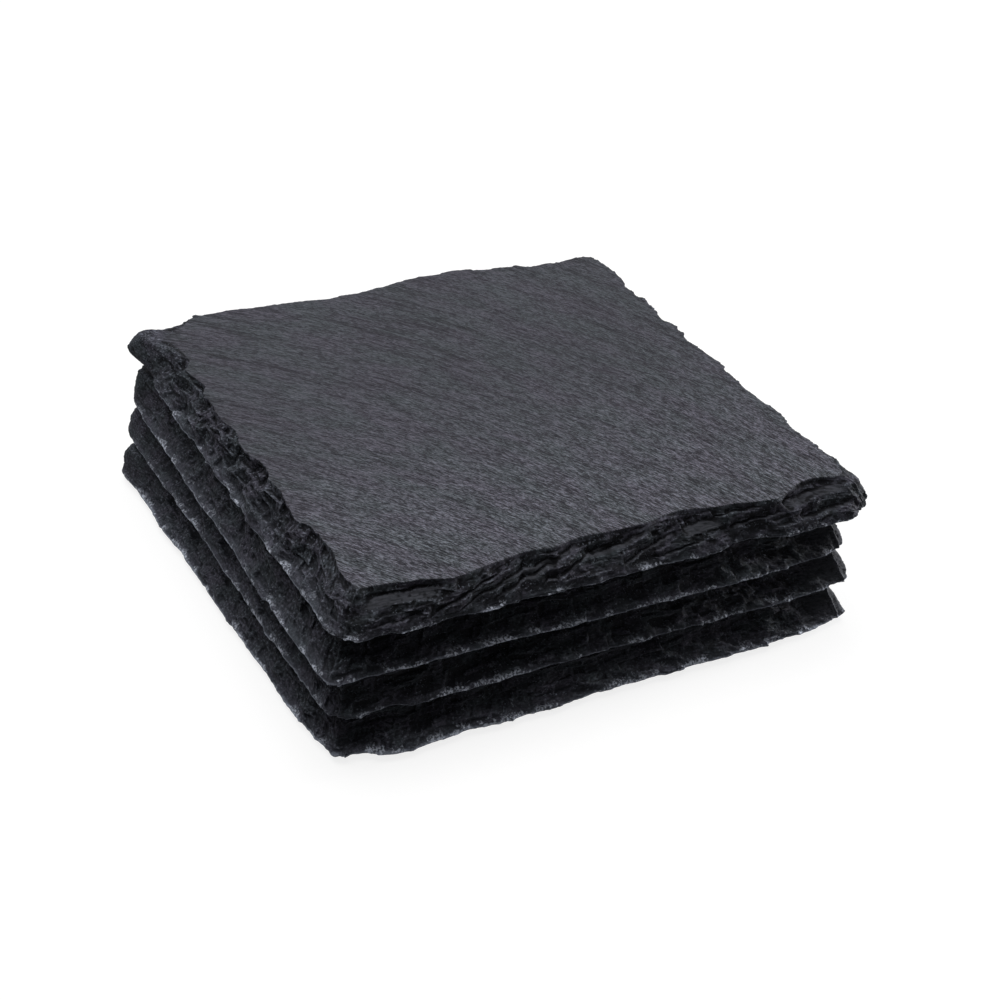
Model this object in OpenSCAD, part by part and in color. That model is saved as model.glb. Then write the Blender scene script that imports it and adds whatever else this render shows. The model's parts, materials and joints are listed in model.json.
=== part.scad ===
// A stack of four square slate coasters.
// Each coaster is one split slab with hand-broken edges and four stick-on rubber feet.
// Origin: under the middle of the stack, on the surface that it stands on. +Z up.

/* [Slate] */
// Width of a coaster across its underside, left to right
coaster_w = 100; // [90:1:115]
// Depth of a coaster across its underside, front to back
coaster_d = 100; // [90:1:115]
// Thickness of the slab
slate_t = 6.3; // [5:0.1:9]
// How far the flat top face usually stops short of the underside's edge
chip_w = 4; // [2:0.1:5]
// Radius of an ordinary corner
corner_r = 5; // [2:0.5:10]
// How far the broken edge swells past the underside
swell = 0.35; // [0:0.05:0.8]
// How far the edge line wanders in and out
wander = 0.3; // [0:0.05:0.6]

/* [Feet] */
// Diameter of a foot
foot_d = 10; // [6:0.5:16]
// Thickness of a foot
foot_t = 1.6; // [1:0.1:3]
// From the slab's side to the middle of a foot
foot_in = 15; // [12:0.5:25]
// Rounding of a foot's lower rim
foot_round = 0.5; // [0.2:0.1:0.9]

/* [Stack] */
// How far the top coaster has slipped on the pile
slip = 2; // [0:0.1:4]
// How far the bottom coaster is turned, in degrees
turn = 1.2; // [0:0.1:3]

/* [Hidden] */
COASTERS = ["bottom", "second", "third", "top"];
CORNERS = ["front_left", "front_right", "back_right", "back_left"];
$fn = 48;

pitch = slate_t + foot_t;
foot_sides = [[-1, -1], [1, -1], [1, 1], [-1, 1]];

// Where each coaster lies in the pile, as shares of the slip and of the turn
slip_shares = [[-0.05, 0], [0.35, 0.45], [0.1, 0.1], [0.95, -0.2]];
turn_shares = [1, 0.2, -0.6, -0.4];

// The broken edge is drawn as columns that go round the slab, counted from its front left corner
edge_columns = 44;
columns = 4 * edge_columns;
// Rings of the broken edge, from the top face down: height, set back, how much each one moves,
// how much it swells, how much of the corner's radius it has, and how far a ledge brings it out
ring_height_shares = [1, 0.84, 0.66, 0.56, 0.38, 0.28, 0.13, 0];
ring_inset_shares = [1, 0.93, 0.8, 0.5, 0.42, 0.12, 0, 0];
ring_lift_shares = [0, 0.04, 0.09, 0.09, 0.09, 0.09, 0.02, 0];
ring_rough_shares = [0, 0.05, 0.14, 0.2, 0.2, 0.14, 0, 0];
ring_swell_shares = [0, 0, 0, 0, 0, 0.5, 1, 0];
ring_corner_shares = [0.25, 0.45, 0.7, 0.85, 0.9, 0.95, 1, 1];
ring_ledge_shares = [0, 0, 1, 1, 1, 1, 0, 0];
rings = len(ring_height_shares);

// Radius of each corner of each coaster: front left, front right, back right, back left
corner_shares = [[2.1, 0.6, 1.2, 0.8], [1.1, 0.5, 1, 0.9], [0.8, 1, 1.2, 1.2], [1, 1.5, 1, 1]];

// Bites out of the edge, and spurs where the last share is negative.
// Each has its side from the front round to the left, its place along that side from -1 to 1,
// its half length as a share of the side, and its depth as a share of chip_w.
bite_shares = [
    [[0, -0.5, 0.06, 0.12], [0, 0.6, 0.25, -0.08], [1, -0.85, 0.15, -0.1], [3, -0.95, 0.1, -0.05]],
    [[0, -0.8, 0.05, 0.45], [0, 0.7, 0.1, -0.12], [0, 1, 0.05, 0.15], [2, 0.3, 0.1, 0.25]],
    [[0, 0.85, 0.15, 0.25], [0, -1, 0.08, -0.2], [1, -0.9, 0.12, 0.25], [1, 0.4, 0.08, 0.2],
        [2, 1, 0.1, 0.25], [3, -1, 0.12, 0.3]],
    [[0, 0.5, 0.08, 0.3], [1, -0.84, 0.15, -0.2], [3, -0.9, 0.1, 0.08], [2, -0.3, 0.1, 0.15]]
];

// Ledges, where the face has flaked away and the slab under it still stands out:
// side, place and half length as above, and how much of the set back the ledge fills
ledge_shares = [
    [[0, -0.3, 0.12, 0.5], [1, 0.3, 0.1, 0.6], [2, 0.2, 0.08, 0.7], [3, -0.2, 0.12, 0.5], [3, -1, 0.06, 0.8],
        [2, 1, 0.06, 0.8]],
    [[0, 0.6, 0.1, 0.5], [1, -0.5, 0.12, 0.6], [2, 0.8, 0.1, 0.8], [3, -0.85, 0.1, 0.8], [3, 0.4, 0.12, 0.5]],
    [[0, -0.1, 0.15, 0.4], [1, 0.6, 0.1, 0.6], [2, -0.4, 0.1, 0.6], [3, -0.85, 0.06, 0.9], [3, 0.1, 0.1, 0.5]],
    [[0, -0.6, 0.1, 0.5], [0, 0.93, 0.05, 0.5], [1, 0.55, 0.06, 0.6], [1, -0.5, 0.08, 0.5],
        [2, 0.96, 0.08, 1.06], [2, 0.1, 0.08, 0.5], [3, -0.96, 0.07, 1.06], [3, -0.2, 0.06, 0.5]]
];

// Set back of the top face along each side of the top coaster, at even steps from corner to corner
face_chip_shares = [
    [1.35, 1.1, 0.75, 0.45, 0.75, 1.05, 0.95, 1.15, 1.05, 1.15, 1.3, 1.05, 1, 0.6, 1, 1.35],
    [1.15, 0.85, 0.85, 1.05, 0.65, 0.9, 0.95, 0.75, 0.8, 0.95, 0.75, 0.95, 0.8, 0.9, 0.6, 0.75],
    [1.1, 1.45, 1.4, 0.95, 0.8, 0.4, 0.5, 0.75, 1, 1.15, 0.95, 0.75, 0.65, 0.65, 0.7, 1.2],
    [1.8, 1.5, 1.5, 1.05, 1.3, 1.1, 0.95, 1.25, 1, 1.3, 1.2, 1.1, 0.95, 1.3, 1.15, 0.85]
];
// The same for the coasters under it, whose top faces hardly show
plain_chip_share = 0.95;
plain_chip_spread_share = 0.35;
// Small nicks along every top face's edge, as a share of chip_w
nick_share = 0.08;

// Random heights between -1 and 1 for the wander, the nicks and each ring, for one coaster
knots_wide = 28;
knots_fine = 84;
first_seed = 11;
function knots(count, coaster, layer) = rands(-1, 1, count, first_seed + 40 * coaster + layer);

// A smooth closed curve through the random heights, at place t from 0 to 1 round the slab
function wave(heights, t) =
    let (n = len(heights), s = t * n, i = floor(s), f = s - i, w = f * f * (3 - 2 * f))
    heights[i % n] * (1 - w) + heights[(i + 1) % n] * w;

// A smooth bump, 1 in its middle and 0 from one half length away
function bump(distance, half_length) =
    let (f = min(1, abs(distance) / half_length))
    1 - f * f * (3 - 2 * f);

// Sum of the marks of a list, such as bites, at place u along a side
function marks(list, side, u) =
    let (sizes = [for (m = list) m[0] == side ? m[3] * bump(u - m[1], 2 * m[2]) : 0])
    [for (s = sizes) 1] * sizes;

// Half size of a unit square with rounded corners along the ray through (u, 1)
function rounded(u, r) =
    let (c = 1 - r, a = u * u + 1, b = (abs(u) + 1) * c)
    abs(u) <= c ? 1 : (b + sqrt(b * b - a * (2 * c * c - r * r))) / a;

// Radius of the corner nearest to place u along a side, on a unit square
function corner_at(coaster, side, u) =
    corner_shares[coaster][(side + (u > 0 ? 1 : 0)) % 4] * 2 * corner_r / min(coaster_w, coaster_d);

// Table value at place u along a side, eased between even steps from corner to corner
function along(side_tables, side, u) =
    let (table = side_tables[side], n = len(table), s = (u + 1) / 2 * n, i = floor(s), f = s - i,
         next = i + 1 < n ? table[i + 1] : side_tables[(side + 1) % 4][0])
    table[i] * (1 - f) + next * f;

// Direction from the slab's middle at place u along a side, on a unit square
function toward(side, u) =
    side == 0 ? [u, -1] : side == 1 ? [1, u] : side == 2 ? [-u, 1] : [-1, -u];

// The slab's own points, ring by ring from the top face down, each ring counterclockwise
function slab_points(coaster) =
    let (
        shake_wide = knots(knots_wide, coaster, 1),
        shake_fine = knots(knots_fine, coaster, 2),
        chips = knots(knots_wide, coaster, 3),
        nicks = knots(knots_fine, coaster, 4),
        lifts = knots(knots_wide, coaster, 5),
        rough = [for (k = [0:rings - 1]) knots(knots_fine, coaster, 6 + k)],
        half_size = [coaster_w, coaster_d] / 2
    )
    [for (k = [0:rings - 1]) for (j = [0:columns - 1])
        let (
            t = j / columns,
            side = floor(j / edge_columns),
            u = 2 * (j / edge_columns - side) - 1,
            edge_in = chip_w * marks(bite_shares[coaster], side, u)
                + wander * (0.7 * wave(shake_wide, t) + 0.5 * wave(shake_fine, t)),
            face_share = coaster == len(COASTERS) - 1
                ? along(face_chip_shares, side, u)
                : plain_chip_share + plain_chip_spread_share * wave(chips, t),
            face_in = chip_w * (face_share + nick_share * wave(nicks, t)),
            ledge = ring_ledge_shares[k] * marks(ledge_shares[coaster], side, u),
            ring_share = ring_inset_shares[k] * (1 - ledge)
                + ring_rough_shares[k] * wave(rough[k], t),
            inset = edge_in * (1 - ring_inset_shares[k]) + face_in * ring_share
                - swell * ring_swell_shares[k],
            out = toward(side, u) * rounded(u, ring_corner_shares[k] * corner_at(coaster, side, u)),
            high = ring_height_shares[k] + ring_lift_shares[k] * wave(lifts, t)
        )
        [out.x * (half_size.x - inset), out.y * (half_size.y - inset), high * slate_t]
    ];

// Faces of the broken edge as triangles, and the two flat faces as outlines
slab_faces = concat(
    [[for (j = [columns - 1:-1:0]) j]],
    [[for (j = [0:columns - 1]) (rings - 1) * columns + j]],
    [for (k = [0:rings - 2]) for (j = [0:columns - 1]) for (h = [0, 1])
        let (a = k * columns + j, b = k * columns + (j + 1) % columns)
        h == 0 ? [a, b, b + columns] : [a, b + columns, a + columns]]
);

// Where a point of a coaster comes to lie in the pile, before the pile is centred
function laid(coaster, p) =
    let (angle = turn * turn_shares[coaster], at = slip * slip_shares[coaster])
    [at.x + p.x * cos(angle) - p.y * sin(angle), at.y + p.x * sin(angle) + p.y * cos(angle)];

pile = [for (c = [0:len(COASTERS) - 1]) for (p = slab_points(c)) laid(c, p)];
pile_x = [for (p = pile) p.x];
pile_y = [for (p = pile) p.y];
pile_middle = [min(pile_x) + max(pile_x), min(pile_y) + max(pile_y)] / 2;

module in_pile(coaster) {
    at = slip * slip_shares[coaster] - pile_middle;
    translate([at.x, at.y, coaster * pitch + foot_t])
        rotate(turn * turn_shares[coaster])
            children();
}

// One slab of slate, flat on its two faces and broken along its edge
module slate(coaster) {
    color("#3b3b40")
        in_pile(coaster)
            polyhedron(slab_points(coaster), slab_faces, convexity = 4);
}

// One rubber foot, stuck to the slab's underside with its rounded rim down
module foot(coaster, corner) {
    side = foot_sides[corner];
    at = [side.x * (coaster_w / 2 - foot_in), side.y * (coaster_d / 2 - foot_in)];
    color("#1b1b1d")
        in_pile(coaster)
            translate([at.x, at.y, -foot_t])
                rotate_extrude()
                    foot_profile();
}

module foot_profile() {
    polygon(concat(
        [[0, foot_t], [0, 0]],
        [for (a = [0:15:90]) [foot_d / 2 - foot_round * (1 - sin(a)), foot_round * (1 - cos(a))]],
        [[foot_d / 2, foot_t]]
    ));
}

for (c = [0:len(COASTERS) - 1]) {
    slate(c);
    for (f = [0:len(CORNERS) - 1])
        foot(c, f);
}
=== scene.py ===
import json
import math
import bpy
import numpy as np
from mathutils import Matrix, Vector

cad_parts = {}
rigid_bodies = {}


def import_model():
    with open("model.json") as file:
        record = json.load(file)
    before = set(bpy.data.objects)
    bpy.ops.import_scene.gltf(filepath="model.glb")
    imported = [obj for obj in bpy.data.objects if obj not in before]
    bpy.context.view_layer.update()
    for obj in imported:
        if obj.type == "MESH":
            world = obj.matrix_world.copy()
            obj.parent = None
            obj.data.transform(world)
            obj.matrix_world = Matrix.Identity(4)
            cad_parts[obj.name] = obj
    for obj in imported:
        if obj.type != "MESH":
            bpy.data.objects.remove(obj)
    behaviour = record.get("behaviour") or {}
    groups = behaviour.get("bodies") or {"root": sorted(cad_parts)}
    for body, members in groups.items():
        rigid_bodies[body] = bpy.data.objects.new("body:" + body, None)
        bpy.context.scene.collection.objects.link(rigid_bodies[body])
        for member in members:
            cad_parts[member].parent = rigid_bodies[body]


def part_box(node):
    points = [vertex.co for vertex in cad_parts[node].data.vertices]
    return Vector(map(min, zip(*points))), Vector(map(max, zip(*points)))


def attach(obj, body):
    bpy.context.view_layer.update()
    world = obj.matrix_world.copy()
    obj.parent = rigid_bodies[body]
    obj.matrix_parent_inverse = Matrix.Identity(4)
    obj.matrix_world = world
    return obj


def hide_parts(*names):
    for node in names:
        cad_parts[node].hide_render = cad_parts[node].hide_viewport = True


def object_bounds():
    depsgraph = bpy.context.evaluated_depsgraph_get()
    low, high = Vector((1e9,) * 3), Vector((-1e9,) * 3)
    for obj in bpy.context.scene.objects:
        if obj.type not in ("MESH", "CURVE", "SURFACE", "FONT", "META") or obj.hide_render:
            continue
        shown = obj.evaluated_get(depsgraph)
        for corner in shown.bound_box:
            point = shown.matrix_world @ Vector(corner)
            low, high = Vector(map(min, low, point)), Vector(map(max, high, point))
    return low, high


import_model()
solid_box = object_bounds()

# The viewpoint.
# A long lens looks down on the pile's near left corner from about a third of a metre away,
# and is tilted a little.
MM = 0.001
LENS_MM, SENSOR_MM, NEAREST = 72.08, 36, 0.01
AZIMUTH, ELEVATION, ROLL = math.radians(-29.87), math.radians(32.49), math.radians(4.08)
EYE_MM = (-150.51, -272.17, 208.59)


def camera():
    """Looks along -back, where back = (sin a cos e, -cos a cos e, sin e), turned by the roll about it."""
    back = Vector((math.sin(AZIMUTH) * math.cos(ELEVATION), -math.cos(AZIMUTH) * math.cos(ELEVATION),
                   math.sin(ELEVATION)))
    level_right = Vector((0, 0, 1)).cross(back).normalized()
    level_up = back.cross(level_right)
    right = level_right * math.cos(ROLL) + level_up * math.sin(ROLL)
    up = level_up * math.cos(ROLL) - level_right * math.sin(ROLL)
    data = bpy.data.cameras.new("viewpoint")
    data.lens = LENS_MM
    data.sensor_width = SENSOR_MM
    data.clip_start = NEAREST
    eye = bpy.data.objects.new("viewpoint", data)
    turned = Matrix((right, up, back)).transposed().to_4x4()
    eye.matrix_world = Matrix.Translation(Vector(EYE_MM) * MM) @ turned
    bpy.context.collection.objects.link(eye)
    bpy.context.scene.camera = eye


camera()
bpy.context.scene.view_settings.view_transform = "Standard"

# The floor, the backdrop and the lamps.
# A plain pale floor, far wider than the pile, one wide soft lamp over the pile and a little behind it, a
# small low one on its right, and an even glow. Only the eye and mirrors see the floor and the sky white.
WHITE, DIM = (1, 1, 1, 1), (0.12, 0.12, 0.12, 1)
# Size, watts and place of each lamp, in metres, and the strength of the even glow
LAMP_SIZE, LAMP_WATTS, LAMP_PLACE = 1.1, 11.4, (-0.1, 0.15, 0.9)
SIDE_SIZE, SIDE_WATTS, SIDE_PLACE = 0.16, 7.0, (0.7, 0.0, 0.09)
FILL = 0.015
# Half the floor's width, how bright its plain white is, how much of it is lit paint by the pile, and how
# far away that begins to fade and is gone
FLOOR_HALF, PLAIN_WHITE, SHADOW_DEPTH = 4.0, 1.06, 0.22
SHADOW_NEAR, SHADOW_END = 0.2, 0.5


class Amount:
    """A value on its way through a material, on which Python's sums work."""

    def __init__(self, finish, socket):
        self.finish, self.socket = finish, socket

    def maths(self, operation, *terms):
        """What a Math node makes of the terms."""
        return self.finish.node("ShaderNodeMath", {"operation": operation}, dict(enumerate(terms)))

    def part(self, name):
        """Another output of the node that gave this value."""
        return Amount(self.finish, self.socket.node.outputs[name])

    def __add__(self, other):
        return self.maths("ADD", self, other)

    def __sub__(self, other):
        return self.maths("SUBTRACT", self, other)

    def __rsub__(self, other):
        return self.maths("SUBTRACT", other, self)

    def __mul__(self, other):
        return self.maths("MULTIPLY", self, other)

    __radd__, __rmul__ = __add__, __mul__


# A Mix node's sockets for colours: the share, the two colours and the result
SHARE, FIRST, SECOND, RESULT = 0, 6, 7, 2


class Finish:
    """A material, or the sky, whose one method node adds any node and feeds its sockets."""

    def __init__(self, name, tree=None):
        self.material = None if tree else bpy.data.materials.new(name)
        if self.material:
            self.material.use_nodes = True
        self.tree = tree or self.material.node_tree
        self.tree.nodes.clear()

    def node(self, kind, settings=None, inputs=None, out=0):
        """Adds a node, sets it up, feeds it values or links, and gives its output named or numbered out."""
        made = self.tree.nodes.new(kind)
        for key, value in (settings or {}).items():
            setattr(made, key, value)
        for key, value in (inputs or {}).items():
            if isinstance(value, Amount):
                self.tree.links.new(value.socket, made.inputs[key])
            else:
                made.inputs[key].default_value = value
        return Amount(self, made.outputs[out]) if made.outputs else None

    def between(self, mask, low, high):
        """Eased share of the way that mask has gone from low to high."""
        return self.node("ShaderNodeMapRange", {"interpolation_type": "SMOOTHSTEP"},
                         {"Value": mask, "From Min": low, "From Max": high})

    def blend(self, mask, first, second):
        """Colour between first and second."""
        return self.node("ShaderNodeMix", {"data_type": "RGBA"},
                         {SHARE: mask, FIRST: first, SECOND: second}, out=RESULT)

    def shade(self, colour, share):
        """A colour made darker or lighter, each part of it times share."""
        return self.node("ShaderNodeVectorMath", {"operation": "SCALE"}, {"Vector": colour, "Scale": share})

    def place(self):
        """Where a point of the surface is, in metres."""
        return self.node("ShaderNodeTexCoord", out="Object")

    def cells(self, place, size):
        """A place counted in cells that are size mm long, broad and high."""
        return self.node("ShaderNodeMapping", {"vector_type": "TEXTURE"},
                         {"Vector": place, "Scale": tuple(v * MM for v in size)})

    def cloud(self, place, size, detail=2.0, roughness=0.5, swirl=0.0):
        """Noise about 0.5 whose blotches are size mm long, broad and high."""
        return self.node("ShaderNodeTexNoise", {}, {"Vector": self.cells(place, size), "Scale": 1.0,
                                                    "Detail": detail, "Roughness": roughness,
                                                    "Distortion": swirl})

    def mark(self, name):
        """A value that the mesh holds at each of its points."""
        return self.node("ShaderNodeAttribute", {"attribute_name": name}, out="Fac")


def seen(finish):
    """1 for a ray that shows what it meets as it is: from the eye, off a gloss or through glass."""
    ray = finish.node("ShaderNodeLightPath")
    eye, gloss, glass = [ray.part(f"Is {name} Ray") for name in ("Camera", "Glossy", "Transmission")]
    return eye.maths("MAXIMUM", eye.maths("MAXIMUM", eye, gloss), glass)


def sky():
    """White to the eye, and an even glow of strength FILL on everything else."""
    world = bpy.data.worlds.new("white_room")
    world.use_nodes = True
    bpy.context.scene.world = world
    finish = Finish("white_room", world.node_tree)
    strength = seen(finish) * (1 - FILL) + FILL
    light = finish.node("ShaderNodeBackground", {}, {"Color": WHITE, "Strength": strength})
    finish.node("ShaderNodeOutputWorld", {}, {"Surface": light})


def floor():
    """A flat square z = 0. Its white is part plain light and, near the pile, part lit paint, so that a
    shadow shows: the lit share falls from SHADOW_DEPTH to none, SHADOW_NEAR to SHADOW_END metres away.
    All other light meets paint that is DIM."""
    finish = Finish("pale_floor")
    mask = seen(finish)
    here = finish.place()
    away = finish.node("ShaderNodeVectorMath", {"operation": "LENGTH"}, {"Vector": here}, out="Value")
    shadow = (1 - finish.between(away, SHADOW_NEAR, SHADOW_END)) * SHADOW_DEPTH
    lit = finish.node("ShaderNodeBsdfDiffuse", {}, {"Color": finish.blend(mask, DIM, WHITE)})
    plain = finish.node("ShaderNodeEmission", {}, {"Color": WHITE, "Strength": PLAIN_WHITE})
    surface = finish.node("ShaderNodeMixShader", {}, {0: mask * (1 - shadow), 1: lit, 2: plain})
    finish.node("ShaderNodeOutputMaterial", {}, {"Surface": surface})
    mesh = bpy.data.meshes.new("floor")
    s = FLOOR_HALF
    mesh.from_pydata([(-s, -s, 0), (s, -s, 0), (s, s, 0), (-s, s, 0)], [], [(0, 1, 2, 3)])
    mesh.materials.append(finish.material)
    plane = bpy.data.objects.new("floor", mesh)
    bpy.context.collection.objects.link(plane)


def lamp(name, size, watts, place):
    """A square of light that faces the pile, and is itself out of sight."""
    data = bpy.data.lights.new(name, "AREA")
    data.shape, data.size, data.energy = "SQUARE", size, watts
    light = bpy.data.objects.new(name, data)
    light.location = place
    light.rotation_euler = Vector(place).to_track_quat("Z", "Y").to_euler()
    light.visible_camera = False
    bpy.context.collection.objects.link(light)


sky()
floor()
lamp("soft_lamp", LAMP_SIZE, LAMP_WATTS, LAMP_PLACE)
lamp("side_lamp", SIDE_SIZE, SIDE_WATTS, SIDE_PLACE)

# The four slabs of slate.
# Each is split by hand from a block of grey slate, so both its faces are riven along the grain,
# and then dressed all round with a hammer: flake after flake of the stone breaks off along a line
# of its own, and the blows leave shell-shaped scars. Dark, matt stone with pale dust on its rims.
LEVELS = ["bottom", "second", "third", "top"]
CORNERS = ["front_left", "front_right", "back_right", "back_left"]
# The solid's columns on each side and its rings, and how many columns are made of each one
SIDE_COLUMNS, RINGS, FINER = 44, 8, 8
# Within the first of these, in mm, a point lies on a corner's diagonal, and two points of a column whose
# heights differ by more than the second are on two rings
ON_DIAGONAL, RING_STEP = 1e-4, 0.05


def seat(level):
    """Middle of a slab's underside, and its turn: the mean of its feet's tops, and the way from its
    front left foot to its front right one."""
    boxes = [np.array(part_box(f"{level}_foot_{corner}")) for corner in CORNERS]
    middles = np.array([box.mean(axis=0) for box in boxes])
    across = middles[1] - middles[0]
    place = middles.mean(axis=0)
    place[2] = boxes[0][1][2]
    return place, math.atan2(across[1], across[0])


def read_slab(level):
    """The slab's solid as two grids, ring by column, in mm: half size h along the ray (u, 1) of a unit
    square, and height z. A column is one direction from the slab's middle, and a ring goes round it.
    Gives its seat too."""
    mesh = bpy.data.objects[f"{level}_slate"].data
    loose = np.empty(3 * len(mesh.vertices), np.float32)
    mesh.vertices.foreach_get("co", loose)
    middle, turn = seat(level)
    x, y, z = (loose.reshape(-1, 3) - middle).astype(float).T / MM
    x, y = x * math.cos(turn) + y * math.sin(turn), y * math.cos(turn) - x * math.sin(turn)
    h = np.maximum(np.abs(x), np.abs(y))
    side = np.select([y <= -h + ON_DIAGONAL, x >= h - ON_DIAGONAL, y >= h - ON_DIAGONAL], [0, 1, 2], 3)
    u = np.choose(side, [x, y, -x, -y]) / h
    column = (side * SIDE_COLUMNS + np.rint((u + 1) / 2 * SIDE_COLUMNS)).astype(int) % (4 * SIDE_COLUMNS)
    order = np.lexsort((-z, column))
    h, z, column = h[order], z[order], column[order]
    first = np.flatnonzero(np.r_[True, (np.diff(column) != 0) | (np.diff(z) < -RING_STEP)])
    count = np.diff(np.r_[first, len(z)])
    rings = [(np.add.reduceat(v, first) / count).reshape(4 * SIDE_COLUMNS, RINGS).T for v in (h, z)]
    return rings[0], rings[1], middle, turn


def finer_columns(ring):
    """A ring's values at FINER times as many columns, on a Catmull-Rom curve through the old ones."""
    p = [np.roll(ring, k, axis=-1)[..., None] for k in (1, 0, -1, -2)]
    f = np.arange(FINER) / FINER
    curve = p[1] + 0.5 * f * (p[2] - p[0] + f * (2 * p[0] - 5 * p[1] + 4 * p[2] - p[3]
                                                  + f * (3 * (p[1] - p[2]) + p[3] - p[0])))
    return curve.reshape(*ring.shape[:-1], -1)


# Four uneven numbers that stir the random values, and the places after which endless noise would repeat
STIR_I, STIR_J, STIR_SEED, STIR = 12.9898, 78.233, 37.719, 43758.5453
ENDLESS = 1e9


def hashed(i, j, seed):
    """Even random values from 0 to 1 at whole places: the fraction of
    STIR sin(STIR_I i + STIR_J j + STIR_SEED seed)."""
    v = np.sin(i * STIR_I + j * STIR_J + seed * STIR_SEED) * STIR
    return v - np.floor(v)


def ease(v, low, high):
    """0 below low and 1 above high, with 3f^2 - 2f^3 between them."""
    f = np.clip((v - low) / (high - low), 0, 1)
    return f * f * (3 - 2 * f)


def cloud(x, y, seed, wrap):
    """Smooth noise from -1 to 1, which repeats after wrap places along x: random heights at whole places,
    eased between them by 3f^2 - 2f^3."""
    i, j = np.floor(x), np.floor(y)
    f, g = ease(x - i, 0, 1), ease(y - j, 0, 1)
    low = hashed(i % wrap, j, seed) * (1 - f) + hashed((i + 1) % wrap, j, seed) * f
    high = hashed(i % wrap, j + 1, seed) * (1 - f) + hashed((i + 1) % wrap, j + 1, seed) * f
    return 2 * (low * (1 - g) + high * g) - 1


def clouds(x, y, sizes, seed, around=None):
    """The sum of clouds that are each so long along x, so broad along y and so strong. Round the slab,
    each meets itself after the distance around."""
    return sum(strong * cloud(x / long, y / broad, seed + k, round(around / long) if around else ENDLESS)
               for k, (long, broad, strong) in enumerate(sizes))


# The angle of the grain to the slab's front, and how much it bends
GRAIN, BEND = math.radians(-58), 0.005
# How long and how broad, in mm, and how strong the face's swells, ridges and layers' wander are
SWELLS = [(34, 34, 1.0), (13, 13, 0.4)]
RIDGES = [(11, 1.9, 1.0), (5, 0.9, 0.6)]
LAYER_WANDER = [(17, 6, 0.7)]
# How far it is from one layer's end to the next along and across the grain, and over what share it ends
LAYER_LONG, LAYER_BROAD, LAYER_END = 90, 26, (0.46, 0.5)
# The face's mean depth, and how high its swells, ridges and layers stand, in mm
FACE_DEEP, SWELL_HIGH, RIDGE_HIGH, LAYER_HIGH = 0.1, 0.03, 0.018, 0.04


def riven(x, y, seed):
    """Depth of the split face under its highest points, in mm: a slow swell, long low ridges along the
    grain, which bends by BEND x y, and thin layers that end in a ragged step."""
    along = x * math.cos(GRAIN) + y * math.sin(GRAIN)
    across = y * math.cos(GRAIN) - x * math.sin(GRAIN) - BEND * x * y
    swell = clouds(x, y, SWELLS, seed)
    ridges = clouds(along, across, RIDGES, seed + 2)
    layer = along / LAYER_LONG + across / LAYER_BROAD + clouds(along, across, LAYER_WANDER, seed + 4)
    part = layer - np.floor(layer)
    step = ease(part, *LAYER_END) - part
    return FACE_DEEP + SWELL_HIGH * swell + RIDGE_HIGH * ridges + LAYER_HIGH * step


# Places round a slab are counted as ROUND mm from its front left corner, counterclockwise.
# Down its edge they are counted along the slope, from the lip of the face to the rim of the underside.
ROUND = 400.0
# The broken edge's rows, how high its rim starts over the underside in mm, and how far it is drawn to one
# clean break. Its rows are smoothed so often, and so often more for the way out of it, which turns level
# over the last LEVEL_ENDS mm to the lip and to the rim
EDGE_ROWS, RIM_HEIGHT, CLEAN_PULL = 46, 0.3, 0.9
SMOOTHED, SMOOTHED_MORE, LEVEL_ENDS = 3, 20, 0.5


def smoothed(rows, times):
    """Rows drawn to their neighbours so many times: each becomes (the one before + 2 itself + the one
    after) / 4."""
    rows = rows.copy()
    for _ in range(times):
        rows[:, 1:-1] = (rows[:, :-2] + 2 * rows[:, 1:-1] + rows[:, 2:]) / 4
    return rows


def edge_rows(h, z, hollow):
    """The solid's broken edge as EDGE_ROWS + 1 rows spread evenly down its slope, drawn by a share
    CLEAN_PULL to one clean break from the lip to just above the rim: a share q of the way down it is
    q^hollow of the way out. Gives half sizes, heights, the way down and the two parts of the way out."""
    dh, dz = np.diff(h, axis=0), np.diff(z, axis=0)
    length = np.hypot(dh, dz)
    down = np.linspace(0, 1, EDGE_ROWS + 1)[:, None, None] * length.sum(axis=0)
    share = np.clip((down - np.cumsum(length, axis=0) + length) / length, 0, 1)
    rows = np.stack([h[0] + (share * dh).sum(axis=1), z[0] + (share * dz).sum(axis=1)])
    rim = np.argmax(rows[1] < RIM_HEIGHT, axis=0)
    q = np.clip(np.arange(EDGE_ROWS + 1)[:, None] / rim, 0, 1)
    ends = rows[:, rim, np.arange(h.shape[1])][:, None] - rows[:, :1]
    clean = rows[:, :1] + ends * np.stack([q ** hollow, q])
    rows = smoothed(rows + np.where(q < 1, CLEAN_PULL * (clean - rows), 0), SMOOTHED)
    fall = np.gradient(smoothed(rows, SMOOTHED_MORE), axis=1)
    out = np.stack([-fall[1], fall[0]]) / np.hypot(fall[0], fall[1])
    step = np.hypot(*np.diff(rows, axis=1))
    down = np.vstack([0 * step[:1], np.cumsum(step, axis=0)])
    slanted = ease(down, 0, LEVEL_ENDS) * ease(down[-1] - down, 0, LEVEL_ENDS)
    return rows[0], rows[1], down, out[0], out[1] * slanted


# How much scars differ in depth, how far they tilt and how dished they are, how much depth is taken off
# one that is a cell away, and from what share of a cell on, all in a scar's own depth and cells
SCAR_VARIES, SCAR_TILT, SCAR_DISH, SCAR_GONE, SCAR_FADE = 0.7, 2.1, 0.55, 1.6, 0.75


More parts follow.
